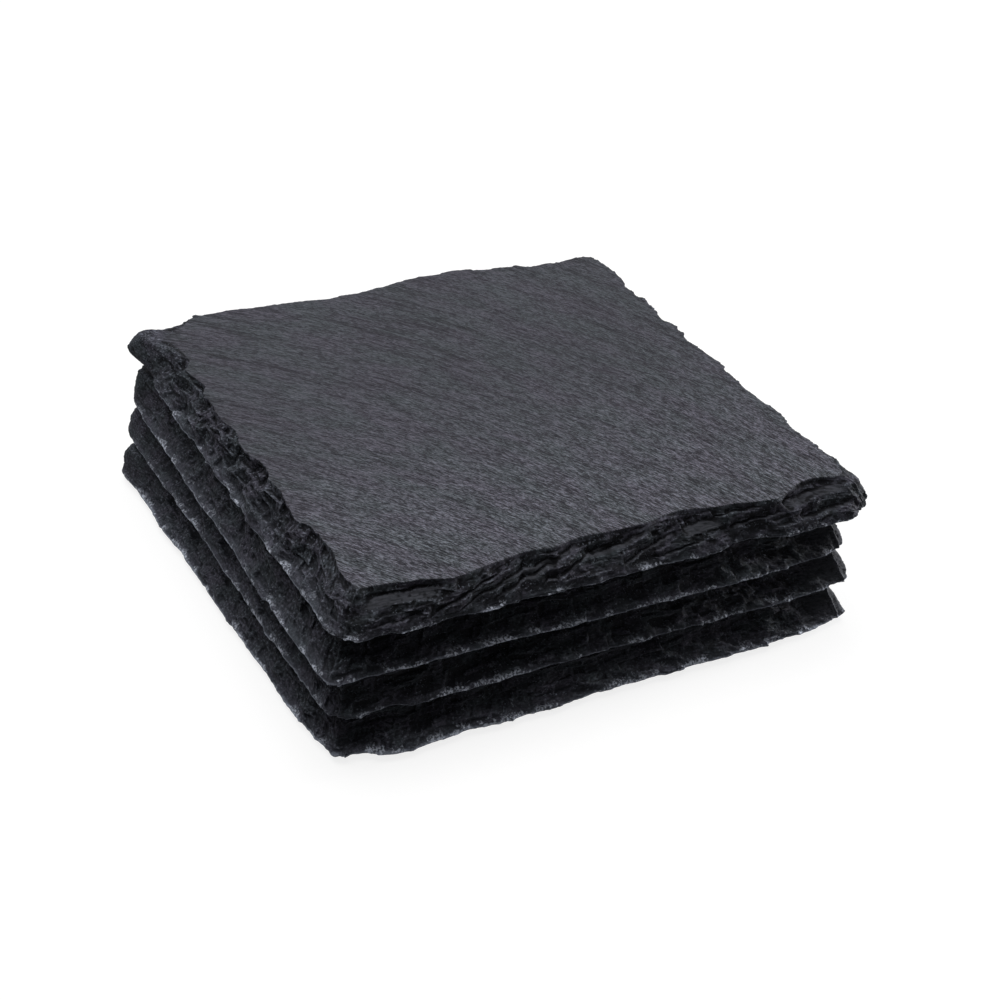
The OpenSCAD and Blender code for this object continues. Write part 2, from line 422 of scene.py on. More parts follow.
def scars(s, y, size, seed):
    """Depth, about 0, of a crowd of scars, one in each cell that is size mm long and high: each is a plane
    tilted its own way and dished by its distance squared, which is gone a cell away, and the deepest of
    the nearest nine shows, so the ridges between them are sharp."""
    x, y = s / size[0], y / size[1]
    i, j = np.floor(x), np.floor(y)
    depth = np.full(x.shape, -np.inf)
    for a in (-1, 0, 1):
        for b in (-1, 0, 1):
            cell = (i + a) % round(ROUND / size[0])
            r = [hashed(cell, j + b, seed + k) for k in range(5)]
            dx, dy = i + a + r[0] - x, j + b + r[1] - y
            one = SCAR_VARIES * r[2] + SCAR_TILT * (r[3] - 0.5) * dx + SCAR_TILT * (r[4] - 0.5) * dy
            one = one - SCAR_DISH * (dx * dx + dy * dy)
            one = one - SCAR_GONE * ease(np.maximum(np.abs(dx), np.abs(dy)), SCAR_FADE, 1)
            depth = np.maximum(depth, one)
    return depth - depth.mean()


# Leaves of stone: how thick each is in mm, by how many of them they climb on the way round, the share of
# each that is its tread, how they wander and fade along the edge, and their middle and greatest strength
LEAF, LEAF_TURNS, TREAD = 1.45, 34, 0.24
LEAF_WANDER = [(12.5, 4, 0.5), (3.2, 2, 0.16)]
LEAF_FADE = [(8, 1, 0.8)]
LEAF_MIDDLE, LEAF_MOST = 0.55, 1.2


def leaves(s, z, seed):
    """Sawtooth from -1 to 1 up the edge: it climbs over the tread of each leaf of stone and falls over its
    wall. The leaves lean along the edge, wander, and each one fades and comes back along it."""
    phase = z / LEAF - LEAF_TURNS * s / ROUND + clouds(s, z, LEAF_WANDER, seed, ROUND)
    leaf = np.floor(phase)
    f = phase - leaf
    strength = np.clip(LEAF_MIDDLE + clouds(s, leaf, LEAF_FADE, seed + 2, ROUND), 0, LEAF_MOST)
    return strength * np.where(f < TREAD, 2 * f / TREAD - 1, 1 - 2 * (f - TREAD) / (1 - TREAD))


# For the front, right, back and left side: how hollow the slope of the lower slabs and of the top one
# is, how deep the leaves, the scars of the lower slabs and of the top one, the chips, the nicks in the
# lip and the notches in the rim are, how much pale dust, and painted light with it, lies on the rim, and
# how finely bruised the stone is all over
SIDES = {
    "hollow": [3.0, 2.0, 2.0, 1.8],
    "top_hollow": [0.9, 1.3, 1.6, 1.3],
    "leaves": [0.1, 0.12, 0.15, 0.05],
    "blows": [0.75, 1.0, 1.0, 0.8],
    "top_blows": [0.75, 1.0, 1.0, 1.6],
    "chips": [0.13, 0.2, 0.2, 0.16],
    "nicks": [0.14, 0.8, 0.7, 0.65],
    "notches": [0.65, 0.8, 0.8, 0.3],
    "dust": [0.8, 0.8, 0.8, 0.85],
    "bruised": [0.05, 0.3, 0.3, 1.0],
}
# The share of a side from which its value turns into the next side's
SIDE_TURNS = 0.94


def along_sides(name, s):
    """A value for each side, eased from one to the next at the corners."""
    side = 4 * s / ROUND
    k = np.floor(side).astype(int) % 4
    f = ease(side - np.floor(side), SIDE_TURNS, 1)
    return np.choose(k, SIDES[name]) * (1 - f) + np.choose((k + 1) % 4, SIDES[name]) * f


def near(s, place, spread):
    """1 at a place round the slab, falling off as exp(-(away / spread)^2)."""
    away = (s - place + ROUND / 2) % ROUND - ROUND / 2
    return np.exp(-(away / spread) ** 2)


# Where big flakes came off the top slab: start along the edge, height there, length, rise over that
# length, height and depth of the tread, and height of the wall above it, in mm
TOP_FLAKES = [
    (1.5, 3.4, 16, 0.6, 1.7, 0.85, 1.1), (4, 1.1, 11, 0.6, 0.3, 0.4, 0.9),
    (15.5, 1.5, 13, 3.4, 0.5, 0.7, 0.8), (20, 1.0, 13, 3.2, 0.5, 0.6, 0.8),
    (26, 0.9, 14, 3.3, 0.7, 0.8, 0.9), (30, 3.2, 13, 1.7, 0.8, 0.7, 1.0),
    (35, 1.2, 14, 3.2, 0.6, 0.7, 1.0), (44, 3.0, 13, 1.5, 0.7, 0.8, 1.2),
    (50, 1.2, 12, 2.4, 0.5, 0.6, 0.9), (56, 0.9, 11, 1.0, 0.4, 0.5, 0.8),
    (63, 2.8, 9, 0.4, 1.7, 0.9, 1.5), (70, 4.6, 10, 0.5, 0.3, 0.5, 0.9),
    (72, 2.2, 12, 1.4, 0.5, 0.7, 1.1), (83, 3.6, 16, 0.9, 1.4, 1.2, 1.2),
    (85, 1.6, 13, 0.8, 0.6, 0.7, 0.9),
]
# How a flake's lower line wanders, the shares of its length where it has set in and where it runs out,
# the height over which its tread sets in, and the share of the tread's height where it starts to go
FLAKE_LINE = [(2, 1, 0.22), (0.7, 1, 0.08)]
FLAKE_SET_IN, FLAKE_RUNS_OUT, TREAD_SETS_IN, TREAD_GOES = 0.1, 0.8, 0.3, 0.8
# Where more came off the top slab's lip, or less where the depth is negative: place along the edge,
# spread and depth, in mm, and how far down the edge it runs out
TOP_BITES = [(18, 20, 0.6), (391, 5, 1.3), (0, 1.6, -0.8), (66, 3, 0.6), (107, 5, -0.7), (205, 12, -0.6),
             (246, 14, -0.9), (288, 14, -0.7), (340, 40, -0.3)]
BITE_DOWN = 4
# The lower slabs' right corners are one smooth break: place along the edge, spread and share
END_BREAK = (99, 6, 0.9)


def big_flakes(level, s, down, z, seed):
    """Depth of what came off in big flakes and bites, and the share of smooth tread. A flake's tread climbs
    inwards from its ragged lower line to the foot of a wall, which leans back to the old edge."""
    if level != "top":
        return 0 * s, END_BREAK[2] * near(s, *END_BREAK[:2])
    flaked, tread = 0 * s, 0 * s
    line = clouds(s, 0 * s, FLAKE_LINE, seed + 38, ROUND)
    for start, low, long, rise, lean, deep, tall in TOP_FLAKES:
        place = (s - start) % ROUND / long
        above = z - low - rise * place - line
        ends = ease(place, 0, FLAKE_SET_IN) * (1 - ease(place, FLAKE_RUNS_OUT, 1))
        flaked += deep * ends * np.clip(above / lean, 0, 1) * np.clip(1 - (above - lean) / tall, 0, 1)
        smooth = ends * ease(above, 0, TREAD_SETS_IN) * (1 - ease(above, TREAD_GOES * lean, lean))
        tread = np.maximum(tread, smooth)
    for place, spread, deep in TOP_BITES:
        flaked += deep * near(s, place, spread) * (1 - ease(down, 0, BITE_DOWN))
    return flaked, tread


# Corners that no blow hollowed out, so they stay full and round: place along the edge and spread, in mm,
# and how hollow their slope is instead. They are spared so much of the scars, and of nicks and notches
LUMPS = [(101, 6, 0.5), (303, 10, 0.15)]
LUMP_SPARED, LUMP_NICKS_SPARED = 0.75, 0.7
# Where a slab's corners reach out past the solid's round ones, or are cut back where the reach is
# negative, and then fall away to the rim: place along the edge, spread, reach and how far the rim draws
# in, in mm. The reach grows between two places down the edge, and the rim draws in below a height
REACH = {
    "bottom": [(3.5, 4, -0.9, 0), (397.5, 2.5, 1.0, 0), (97.5, 3, -0.7, 0), (104.3, 2.6, 1.0, 0)],
    "second": [(97.5, 3, -0.7, 0), (104.3, 2.6, 1.2, 0.9)],
    "third": [(97.5, 3, -0.7, 0), (104.3, 2.6, 1.0, 0.6)],
    "top": [(96.5, 3, 1.0, 0.5), (102.5, 3, 1.2, 0.5), (299, 5, 0.5, 1.2), (306, 6, 1.8, 3.0)],
}
REACH_GROWS, DRAW_HEIGHT = (0.5, 2), 2.4
# Where the scars set in below the lip and above the rim, in mm, the share of them that the rim keeps, the
# share that a smooth tread is spared, and how they wander down the edge
LIP_SETS_IN, RIM_SETS_IN, RIM_KEEPS, TREAD_SPARED = (0.1, 1.3), (0.4, 1.8), 0.35, 0.85
SCAR_WANDER = [(4, 2, 0.3)]
# Length and height in mm of the big and small scars, the chips and the crumbs, how deep the small scars
# are against the big ones, the share of the chips that no place is spared, and the crumbs' depth
BIG_SCAR, SMALL_SCAR, CHIP, CRUMB = (6.25, 3.2), (2.5, 1.6), (1, 0.7), (0.5, 0.4)
SMALL_DEPTH, CHIP_LEAST, CRUMB_DEPTH = 0.6, 0.4, 0.04
# The nicks in the lip and the notches in the rim: their sizes, their shares, and how far each goes along
# the slope
NICKS, NICK_DOWN = [((3.125, 3), 0.7), ((1.25, 1.2), 0.3)], 1.6
NOTCHES, NOTCH_UP = [((4, 4), 0.7), ((1.25, 1.2), 0.3)], 2


def dress(level, h, z, seed):
    """The broken edge, as rows of half sizes and heights from the lip down. It is the solid's own slope,
    less what came off along the way out: leaves, scars of four sizes, nicks at the lip, notches in the
    rim, and big flakes. Gives the scars' depth, the share of smooth tread and the place round the slab
    too."""
    s = np.arange(h.shape[1]) / h.shape[1] * ROUND
    lump = np.clip(sum(near(s, place, spread) for place, spread, _ in LUMPS), 0, 1)
    hollow = along_sides("top_hollow" if level == "top" else "hollow", s)
    for place, spread, full in LUMPS:
        hollow = hollow + near(s, place, spread) * (full - hollow)
    base_h, base_z, down, out_h, out_z = edge_rows(h, z, hollow)
    for place, spread, reach, draw in REACH[level]:
        fall = 1 - ease(base_z, 0, DRAW_HEIGHT)
        base_h = base_h + near(s, place, spread) * (reach * ease(down, *REACH_GROWS) - draw * fall)
    s, up = s + 0 * down, down[-1] - down
    y = down + clouds(s, down, SCAR_WANDER, seed + 8, ROUND)

    flaked, tread = big_flakes(level, s, down, base_z, seed)
    body = ease(down, *LIP_SETS_IN) * (RIM_KEEPS + (1 - RIM_KEEPS) * ease(up, *RIM_SETS_IN))
    body = body * (1 - LUMP_SPARED * lump) * (1 - TREAD_SPARED * tread)
    blows = along_sides("top_blows" if level == "top" else "blows", s)
    chips = (CHIP_LEAST + (1 - CHIP_LEAST) * body) * along_sides("chips", s)
    depth = body * along_sides("leaves", s) * leaves(s, base_z, seed + 10)
    depth = depth + body * blows * scars(s, y, BIG_SCAR, seed + 20)
    depth = depth + body * SMALL_DEPTH * blows * scars(s, y, SMALL_SCAR, seed + 30)
    depth = depth + chips * scars(s, y, CHIP, seed + 40)
    depth = depth + CRUMB_DEPTH * scars(s, y, CRUMB, seed + 50)

    nicks = sum(share * scars(s, y, size, seed + 36 + k) for k, (size, share) in enumerate(NICKS))
    nicks = (1 - ease(down, 0, NICK_DOWN)) * along_sides("nicks", s) * nicks
    notches = sum(share * scars(s, up, size, seed + 61 + k) for k, (size, share) in enumerate(NOTCHES))
    notches = (1 - ease(up, 0, NOTCH_UP)) * along_sides("notches", s) * notches
    spared = 1 - LUMP_NICKS_SPARED * lump
    cut = depth + nicks * spared + notches * spared + flaked
    return base_h - cut * out_h, base_z - cut * out_z, depth, tread, s


# How many points away a point's neighbours are taken, how steeply out of the edge a ridge is seen, and how
# much each mm of standing out counts
ARRIS_AWAY, ARRIS_LEAN, ARRIS_GAIN = 2, 0.5, 6


def arris(x, y, z):
    """How sharply the broken edge stands out at each point, about -1 in a crevice and 1 on a ridge:
    ARRIS_GAIN times the way from the mean of the points round it to the point, along the way out."""
    points = np.stack([x, y, z])
    row = np.arange(z.shape[0])
    beside = sum(np.roll(points, k, axis=2) for k in (-ARRIS_AWAY, ARRIS_AWAY))
    above = sum(points[:, np.clip(row + k, 0, row[-1])] for k in (-ARRIS_AWAY, ARRIS_AWAY))
    out = np.stack([x, y, np.hypot(x, y) * ARRIS_LEAN])
    out = out / np.linalg.norm(out, axis=0)
    return np.clip(((points - (beside + above) / 4) * out).sum(axis=0) * ARRIS_GAIN, -1, 1)


# A face's rings by how many times fewer points they have than the edge, the outermost first, the same for
# the underside, the share of the half size where each stops short of the middle, and how their steps grow
FACE_RINGS, UNDER_RINGS = {1: 3, 2: 9, 4: 36, 8: 18}, {1: 1, 2: 1, 4: 7}
FACE_LAST, UNDER_LAST, RINGS_GROW = 0.02, 0.03, 1.3


def inward(rings, first_h, last_share):
    """Half sizes of a face's rings, from its edge in: first_h (1 - g), where g is the share of the way in,
    and grows as the ring's number to the power RINGS_GROW."""
    fewer = [times for times, count in rings.items() for _ in range(count)]
    g = (np.arange(len(fewer)) / (len(fewer) - 1)) ** RINGS_GROW * (1 - last_share)
    return [first_h[::times] * (1 - share) for times, share in zip(fewer, g)]


def ring_points(h):
    """x and y round one ring of half sizes h, counterclockwise from its front left corner."""
    n = h.shape[-1]
    side, place = np.divmod(np.arange(n), n // 4)
    u = 2 * place / (n // 4) - 1
    x = np.choose(side, [u, np.ones(n), -u, -np.ones(n)]) * h
    y = np.choose(side, [-np.ones(n), u, np.ones(n), -u]) * h
    return x, y


def stitch(counts):
    """Triangles between rings of points that follow each other outwards, down and in again, facing out.
    Rings of n and n points are joined by two triangles a place, and rings of n and 2 n by three. Each end
    is closed to a pole. The two poles are the points that come after the rings."""
    starts = np.r_[0, np.cumsum(counts)]
    parts = []
    for k in range(len(counts) - 1):
        n, m = counts[k], counts[k + 1]
        a, b = starts[k], starts[k + 1]
        i = np.arange(min(n, m))
        step = (i + 1) % len(i)
        if n == m:
            parts += [(a + i, b + i, b + step), (a + i, b + step, a + step)]
        elif n < m:
            parts += [(a + i, b + 2 * i, b + 2 * i + 1), (a + i, b + 2 * i + 1, a + step),
                      (a + step, b + 2 * i + 1, b + (2 * i + 2) % m)]
        else:
            parts += [(a + 2 * i, b + i, a + 2 * i + 1), (a + 2 * i + 1, b + i, b + step),
                      (a + 2 * i + 1, b + step, a + (2 * i + 2) % n)]
    i, last = np.arange(counts[0]), starts[-1]
    parts.append((np.full(len(i), last), i, (i + 1) % len(i)))
    i = np.arange(counts[-1])
    parts.append((np.full(len(i), last + 1), starts[-2] + (i + 1) % len(i), starts[-2] + i))
    return np.concatenate([np.stack(p, axis=-1) for p in parts])


# How high the dust, and the painted light with it, lies over the rim, in mm
DUST_HEIGHT = 0.6
# The bottom slab is scuffed most, and carries painted light from the floor below: how many times as much
# dust and painted light by its rim, and how finely bruised it is at least
TABLE_DUST_AND_LIGHT, TABLE_BRUISED = 1.35, 0.5
# The share of the slab's height from which the face's relief sets in on the edge, how much of such relief
# the underside has, and over how wide a margin it sets in there, in mm
FACE_SETS_IN, UNDER_RELIEF, UNDER_MARGIN = 0.7, 0.5, 3.0
# How far the broken edge may stand out past the solid's own box, in mm
OVERHANG = 1.2
# What each point of the mesh holds for the finish: whether it is on the broken edge, how sharply it stands
# out, how dusty, deep, smooth and bruised it is. The finish paints shade and highlights from how it stands
# out and how deep it is, and light from the dust, the treads and the bruising
MARKS = ["broken", "ridge", "dust", "depth", "tread", "bruised"]


def slab_mesh(level, seed):
    """The whole slab as rings of points: out over the riven face, down the broken edge, and in under it.
    They are turned and moved to where the solid is, and kept inside the whole pile's box."""
    h, z, middle, turn = read_slab(level)
    top = z[0].mean()
    h, z, depth, tread, s = dress(level, finer_columns(h), finer_columns(z), seed)
    edge_x, edge_y = ring_points(h)
    edge_z = z - riven(edge_x, edge_y, seed) * ease(z / top, FACE_SETS_IN, 1)
    broken = np.ones(h.shape)
    broken[0] = 0
    dust = along_sides("dust", s) * np.exp(-np.maximum(z, 0) / DUST_HEIGHT)
    bruised = along_sides("bruised", s)
    # The bottom slab gets more dust and more painted light, as the floor would throw light up onto it
    if level == "bottom":
        dust, bruised = dust * TABLE_DUST_AND_LIGHT, np.maximum(bruised, TABLE_BRUISED)

    rings = []
    for ring in inward(FACE_RINGS, h[0], FACE_LAST)[:0:-1]:
        x, y = ring_points(ring)
        rings.append((x, y, top - riven(x, y, seed), *[0 * x] * len(MARKS)))
    rings += zip(edge_x, edge_y, edge_z, broken, arris(edge_x, edge_y, edge_z), dust, depth, tread, bruised)
    for ring in inward(UNDER_RINGS, h[-1], UNDER_LAST)[1:]:
        x, y = ring_points(ring)
        lift = UNDER_RELIEF * riven(x, y, seed + 5) * ease(h[-1].mean() - ring, 0, UNDER_MARGIN)
        rings.append((x, y, lift, *[0 * x] * len(MARKS)))

    counts = [len(ring[0]) for ring in rings]
    columns = [np.concatenate(column) for column in zip(*rings)]
    poles = np.array([[0, 0, rings[0][2].mean()], [0, 0, rings[-1][2].mean()]])
    points = np.vstack([np.stack(columns[:3], axis=-1), poles])
    marks = {name: np.r_[column, 0, 0] for name, column in zip(MARKS, columns[3:])}
    cos, sin = math.cos(turn), math.sin(turn)
    points = points @ np.array([[cos, sin, 0], [-sin, cos, 0], [0, 0, 1]]) * MM + middle
    low, high = np.array(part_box(f"{level}_slate")) + np.array([[-1, -1, 0], [1, 1, 0]]) * OVERHANG * MM
    low, high = np.maximum(low, solid_box[0]), np.minimum(high, solid_box[1])
    return np.clip(points, low, high), stitch(counts), marks


def paint(red, green, blue):
    """A colour as a screen shows it, from 0 to 255, as plain light: ((c + 0.055) / 1.055) ^ 2.4."""
    return (*[((c / 255 + 0.055) / 1.055) ** 2.4 for c in (red, green, blue)], 1)


# The face's two greys and the dark of its dashes. Its patterns lie along and across the grain: for each,
# its size in mm, detail, roughness and swirl, and then where its mask begins and is full
FACE_GREY, FACE_LILAC, FACE_DARK = paint(69, 72, 77), paint(72, 71, 79), paint(32, 32, 37)
FACE_PATTERNS = {
    "wide": (((12, 6, 8), 3), (0.3, 0.7)),
    "wrinkle": (((1.6, 0.34, 1), 3, 0.65, 0.5), (0.38, 0.62)),
    "fine": (((0.6, 0.2, 1), 2, 0.6, 0.3), (0.35, 0.65)),
    "dash": (((3.2, 0.4, 1), 2, 0.6, 0.8), (0.4, 0.34)),
    "streak": (((17, 0.9, 1), 3, 0.55, 0.4), (0.52, 0.37)),
    "sweep": (((40, 12, 8), 1), (0.4, 0.6)),
}
# The face is painted lighter towards its front and a little darker towards its right, as painted light and
# shade, and is more wrinkled towards its front: where each begins and is full, in metres, the shade and
# contrast before it, and what it adds or takes
FRONT_ENDS, RIGHT_ENDS = (0.02, -0.05), (-0.04, 0.04)
BACK_PAINTED_SHADE, FRONT_PAINTED_LIGHT, LEFT_PAINTED_LIGHT, RIGHT_PAINTED_SHADE = 0.84, 0.27, 1.03, 0.1
BACK_CONTRAST, FRONT_CONTRAST = 0.66, 0.66
# Shade between the long dark streaks, how dark they are, how much darker in sweeps of them, how much of
# that the front is spared, and how dark the dashes are
STREAK_SHADE, STREAK_DARK, SWEEP_DARK, FRONT_SPARED, DASH_DARK = 1.04, 0.16, 0.26, 0.6, 0.55
# How high the wrinkles and the fine grain stand and how deep the dashes lie, in mm
WRINKLE_HIGH, FINE_HIGH, DASH_DEEP = 0.22, 0.08, 0.08


def patterns(finish, place, table):
    """For each row of the table, its pattern and that pattern's mask, by name."""
    raw = {name: finish.cloud(place, *look) for name, (look, _) in table.items()}
    return raw, {name: finish.between(raw[name], *ends) for name, (_, ends) in table.items()}


def riven_face(finish, x, y, z):
    """Colour and relief of the face: even charcoal under painted light towards its front and left and
    painted shade towards its back and right, wrinkled along the grain, with dark streaks and dashes."""
    along = x * math.cos(GRAIN) + y * math.sin(GRAIN)
    across = y * math.cos(GRAIN) - x * math.sin(GRAIN) - x * y * (BEND / MM)
    grain = finish.node("ShaderNodeCombineXYZ", {}, {"X": along, "Y": across, "Z": z})
    raw, mask = patterns(finish, grain, FACE_PATTERNS)
    front, right = finish.between(y, *FRONT_ENDS), finish.between(x, *RIGHT_ENDS)
    contrast = BACK_CONTRAST + FRONT_CONTRAST * front
    streaked = (STREAK_DARK + SWEEP_DARK * mask["sweep"]) * (1 - FRONT_SPARED * front)
    face = finish.blend(mask["wide"], FACE_GREY, FACE_LILAC)
    # Painted light and shade: the face lighter towards its front and left, darker towards its back and right
    face = finish.shade(face, (BACK_PAINTED_SHADE + FRONT_PAINTED_LIGHT * front) * (LEFT_PAINTED_LIGHT - RIGHT_PAINTED_SHADE * right))
    face = finish.shade(face, STREAK_SHADE - mask["streak"] * streaked)
    face = finish.shade(face, 1 + (mask["wrinkle"] - 0.5) * contrast)
    face = finish.shade(face, 1 + (mask["fine"] - 0.5) * contrast)
    face = finish.blend(mask["dash"] * DASH_DARK, face, FACE_DARK)
    relief = raw["wrinkle"] * WRINKLE_HIGH + raw["fine"] * FINE_HIGH - mask["dash"] * DASH_DEEP
    return face, relief


# The edge's two greys, the partly painted light of its smooth treads, the painted shade in its crevices,
# the painted highlights on its sharp ridges, its specks, the veil of painted light on bruised stone, and the
# line and the powder on its rim. Its patterns are as the face's, in plain x, y and z
EDGE_GREEN, EDGE_LILAC, TREAD_GREY_AND_LIGHT = paint(48, 52, 56), paint(54, 53, 61), paint(59, 60, 65)
PAINTED_SHADE_BLACK, PAINTED_HIGHLIGHT, SPECK = paint(8, 8, 10), paint(112, 115, 126), paint(132, 140, 152)
PAINTED_LIGHT_VEIL, RIM_LINE, POWDER = paint(118, 122, 134), paint(146, 152, 166), paint(196, 202, 216)
EDGE_PATTERNS = {
    "patch": (((6, 6, 3), 2), (0.35, 0.65)),
    "mottle": (((2.4, 2.4, 1.7), 2.5, 0.55), (0.36, 0.64)),
    "grit": (((0.4, 0.4, 0.36), 2), (0.3, 0.7)),
    "layers": (((2.4, 2.4, 0.17), 3, 0.6), (0.36, 0.6)),
    "scratch": (((0.9, 0.22, 0.9), 2, 0.6), (0.35, 0.65)),
    "dusty": (((3.2, 3.2, 3.2), 3, 0.65), (0.48, 0.56)),
    "bead": (((0.42, 0.42, 0.42), 2, 0.6), (0.47, 0.56)),
}
# Its roughness is one more pattern, which needs no mask
ROUGH_LOOK = ((0.7, 0.7, 0.4), 3, 0.65)
# How much the mottle and the grit shade the stone and from what shade up, what bruising takes from or adds
# to each, the same for the layers, how much scratches shade bruised stone, and how much of its own lighter
# grey, partly painted light on ledges that face up, is painted on a tread
MOTTLE_SHADE, MOTTLE_FROM, BRUISED_EVEN, BRUISED_LIGHT = 1.1, 0.35, 0.7, 0.5
GRIT_SHADE, GRIT_FROM, BRUISED_GRIT, BRUISED_DARK = 0.4, 0.8, 0.5, 0.2
LAYER_SHADE, LAYER_FROM, SCRATCH_SHADE, TREAD_PAINTED = 0.56, 0.66, 0.5, 0.8
# Where the painted shade in deep scars and crevices begins and is full, how dark it gets, and what bruising
# spares
DEPTH_ENDS, DEPTH_PAINTED_SHADE, BRUISED_SPARED = (0.05, 0.45), 0.92, 0.52
CREVICE_ENDS, CREVICE_PAINTED_SHADE = (0.05, -0.5), 0.9
# Where the painted highlight on ridges begins and is full, which grit shows on them and which stands alone
# as a speck, how strong both are, and how much of the specks there is outside and in dusty places
RIDGE_ENDS, RIDGE_GRIT, HIGHLIGHT_STRONG = (0.35, 0.9), (0.45, 0.6), 0.4
SPECK_GRIT, SPECK_STRONG, SPECK_CLEAN, SPECK_DUSTY = (0.6, 0.67), 0.45, 0.25, 0.6
# How strong the veils of painted light are by the rim and on bruised stone, where it spreads up by a power,
# where the rim's line begins and is full, how strong it is and what beads and bruises add
RIM_PAINTED_LIGHT, BRUISED_PAINTED_LIGHT, VEIL_SPREAD = 0.16, 0.14, 0.3
LINE_ENDS, LINE_STRONG, LINE_BEAD, LINE_BRUISED = (0.5, 0.8), 0.45, 0.3, 0.2
# How much further up powder lies in dusty places, where it begins and is full, how much lies outside the
# dusty places and the beads, and how much more inside them
POWDER_UP, POWDER_ENDS, POWDER_LEAST, POWDER_MORE = 0.35, (0.45, 0.95), 0.1, 0.9
# How high the layers and the roughness stand, in mm, and how much of the latter a smooth tread lacks
LAYER_RELIEF, ROUGH_RELIEF, TREAD_EVENED = 0.16, 0.26, 0.18


def broken_edge(finish, here, ridge, rim, depth, tread, bruised):
    """Colour and relief of the edge: mottled from black to grey, faintly green and lilac, in thin layers,
    with painted shade in its crevices, painted highlights on its ridges, painted light on its treads and in
    a veil by its rim, pale specks, and pale dust along the rim."""
    raw, mask = patterns(finish, here, EDGE_PATTERNS)
    mottle = mask["mottle"] * (MOTTLE_SHADE - BRUISED_EVEN * bruised) + MOTTLE_FROM + BRUISED_LIGHT * bruised
    grit = mask["grit"] * (GRIT_SHADE + BRUISED_GRIT * bruised) + GRIT_FROM - BRUISED_DARK * bruised
    edge = finish.shade(finish.blend(mask["patch"], EDGE_GREEN, EDGE_LILAC), mottle)
    edge = finish.shade(edge, grit)
    edge = finish.shade(edge, 1 + (mask["scratch"] - 0.5) * bruised * SCRATCH_SHADE)
    # Partly painted light: smooth treads take their own lighter grey, as ledges facing up into the light
    edge = finish.blend(tread * TREAD_PAINTED, edge, TREAD_GREY_AND_LIGHT)
    edge = finish.shade(edge, mask["layers"] * LAYER_SHADE + LAYER_FROM)

    # Painted shade: deep scars and crevices darkened towards black, where shade falls in the broken stone
    deep = finish.between(depth, *DEPTH_ENDS) * (DEPTH_PAINTED_SHADE - BRUISED_SPARED * bruised)
    edge = finish.blend(deep, edge, PAINTED_SHADE_BLACK)
    edge = finish.blend(finish.between(ridge, *CREVICE_ENDS) * CREVICE_PAINTED_SHADE, edge, PAINTED_SHADE_BLACK)
    # Painted highlight: sharp ridges paled where light would catch them
    sharp = finish.between(ridge, *RIDGE_ENDS) * finish.between(raw["grit"], *RIDGE_GRIT)
    edge = finish.blend(sharp * HIGHLIGHT_STRONG, edge, PAINTED_HIGHLIGHT)
    dusty, bead = mask["dusty"], mask["bead"]
    speck = finish.between(raw["grit"], *SPECK_GRIT) * (SPECK_CLEAN + SPECK_DUSTY * dusty) * (1 - tread)
    edge = finish.blend(speck * SPECK_STRONG, edge, SPECK)

    # Painted light: a pale veil by the rim and on bruised stone, standing in for light thrown up from the
    # floor
    edge = finish.blend(rim * RIM_PAINTED_LIGHT, edge, PAINTED_LIGHT_VEIL)
    edge = finish.blend(rim.maths("POWER", rim, VEIL_SPREAD) * bruised * BRUISED_PAINTED_LIGHT, edge, PAINTED_LIGHT_VEIL)
    line = finish.between(rim, *LINE_ENDS) * (LINE_STRONG + LINE_BEAD * bead + LINE_BRUISED * bruised)
    edge = finish.blend(line, edge, RIM_LINE)
    powder = finish.between(rim + dusty * POWDER_UP, *POWDER_ENDS)
    powder = powder * (POWDER_LEAST + POWDER_MORE * dusty) * (POWDER_LEAST + POWDER_MORE * bead)
    edge = finish.blend(powder, edge, POWDER)
    rough = finish.cloud(here, *ROUGH_LOOK)
    return edge, raw["layers"] * LAYER_RELIEF + rough * (ROUGH_RELIEF - TREAD_EVENED * tread)


# How rough the face is to light, how much rougher the edge is, and the gloss of both
SLATE_ROUGHNESS, EDGE_ROUGHER, SLATE_GLOSS = 0.66, 0.06, 0.06


def slate_finish():
    """Split slate: the riven face wherever the stone isn't broken, and the broken edge elsewhere."""
    finish = Finish("split_slate")
    broken, ridge, rim, depth, tread, bruised = [finish.mark(name) for name in MARKS]
    here = finish.place()
    split = finish.node("ShaderNodeSeparateXYZ", {}, {"Vector": here})
    face, face_relief = riven_face(finish, *[split.part(name) for name in "XYZ"])
    edge, edge_relief = broken_edge(finish, here, ridge, rim, depth, tread, bruised)
    relief = face_relief * (1 - broken) + edge_relief * broken
    bump = finish.node("ShaderNodeBump", {}, {"Height": relief, "Distance": MM, "Strength": 1.0})
    skin = finish.node("ShaderNodeBsdfPrincipled", {}, {
        "Base Color": finish.blend(broken, face, edge),
        "Roughness": SLATE_ROUGHNESS + EDGE_ROUGHER * broken,
        "Specular IOR Level": SLATE_GLOSS,
        "Normal": bump,
    })
    finish.node("ShaderNodeOutputMaterial", {}, {"Surface": skin})
    return finish.material


# The bottom slab's random seed, how far on each next slab's is, and the angle between two triangles past
# which their edge is shaded sharp
FIRST_SEED, NEXT_SEED = 3.0, 7
SLATE_SHARP = math.radians(27)
slate = slate_finish()
for number, level in enumerate(LEVELS):
    points, triangles, marks = slab_mesh(level, FIRST_SEED + NEXT_SEED * number)
    mesh = bpy.data.meshes.new(f"{level}_slab")
    mesh.from_pydata(points.tolist(), [], triangles.tolist())
    for name, values in marks.items():
        mesh.attributes.new(name, "FLOAT", "POINT").data.foreach_set("value", values.astype(np.float32))
    mesh.materials.append(slate)
    mesh.shade_smooth()
    mesh.set_sharp_from_angle(angle=SLATE_SHARP)
    slab = bpy.data.objects.new(f"{level}_slab", mesh)
    bpy.context.collection.objects.link(slab)
    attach(slab, f"{level}_coaster")
    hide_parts(f"{level}_slate")

